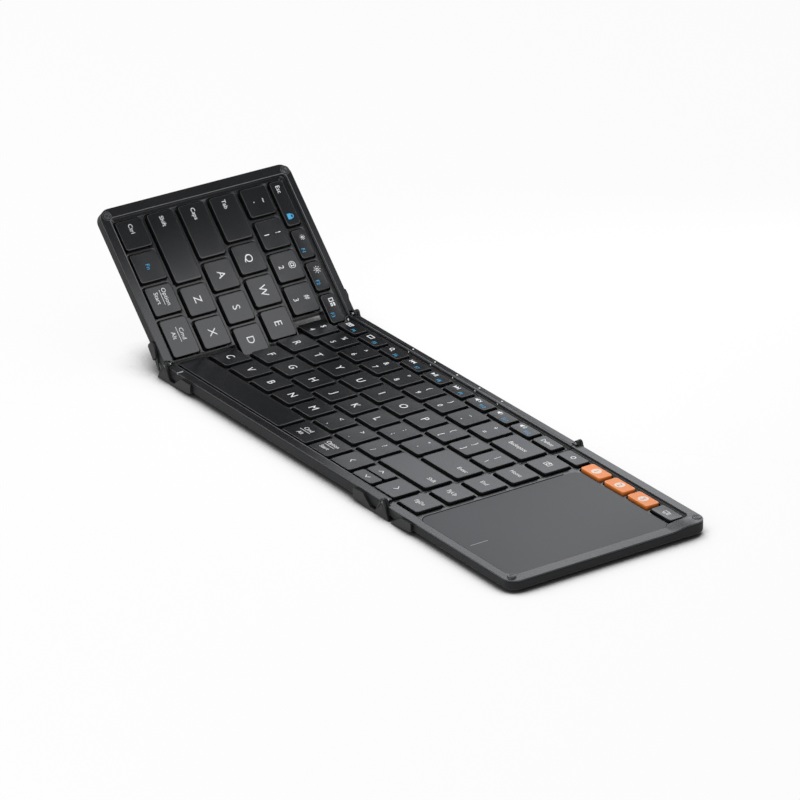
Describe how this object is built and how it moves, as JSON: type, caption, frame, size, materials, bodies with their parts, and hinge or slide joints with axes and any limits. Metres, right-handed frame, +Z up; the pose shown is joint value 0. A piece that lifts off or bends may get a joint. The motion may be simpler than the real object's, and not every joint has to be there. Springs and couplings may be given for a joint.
{
  "type": "folding keyboard",
  "caption": "Folding keyboard whose side wings turn on pin hinges over the middle section, with sprung keys in stepped rows and a clicking touchpad.",
  "frame": {"origin": "centre of the bounding box's bottom face at rest, on the desk", "axes": "+X to the typist's right along the keyboard, +Y away from the typist, +Z up from the desk"},
  "size_m": [0.3654, 0.1194, 0.0711],
  "materials": {
    "shell_plastic": "fine matte, charcoal",
    "frame_plastic": "satin, charcoal",
    "key_plastic": "fine matte, charcoal",
    "orange_plastic": "fine matte, orange",
    "touchpad_film": "smooth satin, grey",
    "support_metal": "bare sheet",
    "membrane_film": "clear film",
    "dome_rubber": "translucent silicone",
    "foot_rubber": "matte black",
    "hinge_metal": "fine black paint",
    "pin_steel": "polished",
    "screw_steel": "black zinc",
    "light_window": "clear white",
    "board": "green solder mask",
    "socket_steel": "plated",
    "battery_foil": "foil pouch"
  },
  "bodies": {
    "center": {"center_bottom_shell": "shell_plastic", "center_top_frame": "frame_plastic", "center_support_plate": "support_metal", "center_membrane": "membrane_film", "center_domes": "dome_rubber", "center_feet": "foot_rubber", "center_screws": "screw_steel", "status_windows": "light_window", "fold_magnet": "pin_steel", "left_fold_posts": "hinge_metal", "left_fold_pins": "pin_steel", "right_fold_posts": "hinge_metal", "right_fold_pins": "pin_steel"},
    "left_wing": {"left_bottom_shell": "shell_plastic", "left_top_frame": "frame_plastic", "left_support_plate": "support_metal", "left_membrane": "membrane_film", "left_domes": "dome_rubber", "left_feet": "foot_rubber", "left_screws": "screw_steel", "left_bumpers": "foot_rubber", "left_wing_brackets": "hinge_metal"},
    "right_wing": {"right_bottom_shell": "shell_plastic", "right_top_frame": "frame_plastic", "right_support_plate": "support_metal", "right_membrane": "membrane_film", "right_domes": "dome_rubber", "right_feet": "foot_rubber", "right_screws": "screw_steel", "right_bumpers": "foot_rubber", "right_wing_brackets": "hinge_metal", "main_board": "board", "usb_socket": "socket_steel", "battery": "battery_foil", "touchpad_dome": "pin_steel"},
    "touchpad_plate": {"touchpad": "touchpad_film", "touchpad_board": "board"},
    "escape_key": {"escape_key": "key_plastic"},
    "left_function_keys": {"left_function_keys": "key_plastic"},
    "left_number_keys": {"left_number_keys": "key_plastic"},
    "left_upper_keys": {"left_upper_keys": "key_plastic"},
    "left_home_keys": {"left_home_keys": "key_plastic"},
    "left_lower_keys": {"left_lower_keys": "key_plastic"},
    "left_front_keys": {"left_front_keys": "key_plastic"},
    "center_function_keys": {"center_function_keys": "key_plastic"},
    "center_number_keys": {"center_number_keys": "key_plastic"},
    "center_upper_keys": {"center_upper_keys": "key_plastic"},
    "center_home_keys": {"center_home_keys": "key_plastic"},
    "center_lower_keys": {"center_lower_keys": "key_plastic"},
    "center_front_keys": {"center_front_keys": "key_plastic"},
    "space_bar": {"space_bar": "key_plastic"},
    "backspace": {"backspace": "key_plastic"},
    "enter": {"enter": "key_plastic"},
    "right_shift": {"right_shift": "key_plastic"},
    "page_keys": {"page_keys": "key_plastic"},
    "ring_key": {"ring_key": "key_plastic"},
    "channel_1_key": {"channel_1_key": "orange_plastic"},
    "channel_2_key": {"channel_2_key": "orange_plastic"},
    "channel_3_key": {"channel_3_key": "orange_plastic"},
    "device_key": {"device_key": "key_plastic"}
  },
  "joints": [
    {"name": "left_fold", "type": "hinge", "parent": "center", "child": "left_wing", "pos_m": [-0.11572, 0, 0.0082], "axis": [0, 1, 0], "range_deg": [-45, 135]},
    {"name": "right_fold", "type": "hinge", "parent": "center", "child": "right_wing", "pos_m": [0.07828, 0, 0.0082], "axis": [0, -1, 0], "range_deg": [0, 180]},
    {"name": "touchpad_click", "type": "slide", "parent": "right_wing", "child": "touchpad_plate", "axis": [0, 0, 1], "range_m": [-0.0003, 0], "stiffness_N_per_m": 3000, "springref_m": 0.0003, "deforming": ["touchpad_dome"]},
    {"name": "escape_key_press", "type": "slide", "parent": "left_wing", "child": "escape_key", "axis": [0.7071, 0, 0.7071], "range_m": [-0.0012, 0], "stiffness_N_per_m": 400, "springref_m": 0.0005, "deforming": ["left_domes"]},
    {"name": "left_function_keys_press", "type": "slide", "parent": "left_wing", "child": "left_function_keys", "axis": [0.7071, 0, 0.7071], "range_m": [-0.0012, 0], "stiffness_N_per_m": 400, "springref_m": 0.0005, "deforming": ["left_domes"]},
    {"name": "left_number_keys_press", "type": "slide", "parent": "left_wing", "child": "left_number_keys", "axis": [0.7071, 0, 0.7071], "range_m": [-0.0012, 0], "stiffness_N_per_m": 400, "springref_m": 0.0005, "deforming": ["left_domes"]},
    {"name": "left_upper_keys_press", "type": "slide", "parent": "left_wing", "child": "left_upper_keys", "axis": [0.7071, 0, 0.7071], "range_m": [-0.0012, 0], "stiffness_N_per_m": 400, "springref_m": 0.0005, "deforming": ["left_domes"]},
    {"name": "left_home_keys_press", "type": "slide", "parent": "left_wing", "child": "left_home_keys", "axis": [0.7071, 0, 0.7071], "range_m": [-0.0012, 0], "stiffness_N_per_m": 400, "springref_m": 0.0005, "deforming": ["left_domes"]},
    {"name": "left_lower_keys_press", "type": "slide", "parent": "left_wing", "child": "left_lower_keys", "axis": [0.7071, 0, 0.7071], "range_m": [-0.0012, 0], "stiffness_N_per_m": 400, "springref_m": 0.0005, "deforming": ["left_domes"]},
    {"name": "left_front_keys_press", "type": "slide", "parent": "left_wing", "child": "left_front_keys", "axis": [0.7071, 0, 0.7071], "range_m": [-0.0012, 0], "stiffness_N_per_m": 400, "springref_m": 0.0005, "deforming": ["left_domes"]},
    {"name": "center_function_keys_press", "type": "slide", "parent": "center", "child": "center_function_keys", "axis": [0, 0, 1], "range_m": [-0.0012, 0], "stiffness_N_per_m": 400, "springref_m": 0.0005, "deforming": ["center_domes"]},
    {"name": "center_number_keys_press", "type": "slide", "parent": "center", "child": "center_number_keys", "axis": [0, 0, 1], "range_m": [-0.0012, 0], "stiffness_N_per_m": 400, "springref_m": 0.0005, "deforming": ["center_domes"]},
    {"name": "center_upper_keys_press", "type": "slide", "parent": "center", "child": "center_upper_keys", "axis": [0, 0, 1], "range_m": [-0.0012, 0], "stiffness_N_per_m": 400, "springref_m": 0.0005, "deforming": ["center_domes"]},
    {"name": "center_home_keys_press", "type": "slide", "parent": "center", "child": "center_home_keys", "axis": [0, 0, 1], "range_m": [-0.0012, 0], "stiffness_N_per_m": 400, "springref_m": 0.0005, "deforming": ["center_domes"]},
    {"name": "center_lower_keys_press", "type": "slide", "parent": "center", "child": "center_lower_keys", "axis": [0, 0, 1], "range_m": [-0.0012, 0], "stiffness_N_per_m": 400, "springref_m": 0.0005, "deforming": ["center_domes"]},
    {"name": "center_front_keys_press", "type": "slide", "parent": "center", "child": "center_front_keys", "axis": [0, 0, 1], "range_m": [-0.0012, 0], "stiffness_N_per_m": 400, "springref_m": 0.0005, "deforming": ["center_domes"]},
    {"name": "space_bar_press", "type": "slide", "parent": "center", "child": "space_bar", "axis": [0, 0, 1], "range_m": [-0.0012, 0], "stiffness_N_per_m": 400, "springref_m": 0.0005, "deforming": ["center_domes"]},
    {"name": "backspace_press", "type": "slide", "parent": "center", "child": "backspace", "axis": [0, 0, 1], "range_m": [-0.0012, 0], "stiffness_N_per_m": 400, "springref_m": 0.0005, "deforming": ["center_domes"]},
    {"name": "enter_press", "type": "slide", "parent": "center", "child": "enter", "axis": [0, 0, 1], "range_m": [-0.0012, 0], "stiffness_N_per_m": 400, "springref_m": 0.0005, "deforming": ["center_domes"]},
    {"name": "right_shift_press", "type": "slide", "parent": "center", "child": "right_shift", "axis": [0, 0, 1], "range_m": [-0.0012, 0], "stiffness_N_per_m": 400, "springref_m": 0.0005, "deforming": ["center_domes"]},
    {"name": "page_keys_press", "type": "slide", "parent": "right_wing", "child": "page_keys", "axis": [0, 0, 1], "range_m": [-0.0012, 0], "stiffness_N_per_m": 400, "springref_m": 0.0005, "deforming": ["right_domes"]},
    {"name": "ring_key_press", "type": "slide", "parent": "right_wing", "child": "ring_key", "axis": [0, 0, 1], "range_m": [-0.0012, 0], "stiffness_N_per_m": 400, "springref_m": 0.0005, "deforming": ["right_domes"]},
    {"name": "channel_1_key_press", "type": "slide", "parent": "right_wing", "child": "channel_1_key", "axis": [0, 0, 1], "range_m": [-0.0012, 0], "stiffness_N_per_m": 400, "springref_m": 0.0005, "deforming": ["right_domes"]},
    {"name": "channel_2_key_press", "type": "slide", "parent": "right_wing", "child": "channel_2_key", "axis": [0, 0, 1], "range_m": [-0.0012, 0], "stiffness_N_per_m": 400, "springref_m": 0.0005, "deforming": ["right_domes"]},
    {"name": "channel_3_key_press", "type": "slide", "parent": "right_wing", "child": "channel_3_key", "axis": [0, 0, 1], "range_m": [-0.0012, 0], "stiffness_N_per_m": 400, "springref_m": 0.0005, "deforming": ["right_domes"]},
    {"name": "device_key_press", "type": "slide", "parent": "right_wing", "child": "device_key", "axis": [0, 0, 1], "range_m": [-0.0012, 0], "stiffness_N_per_m": 400, "springref_m": 0.0005, "deforming": ["right_domes"]}
  ]
}
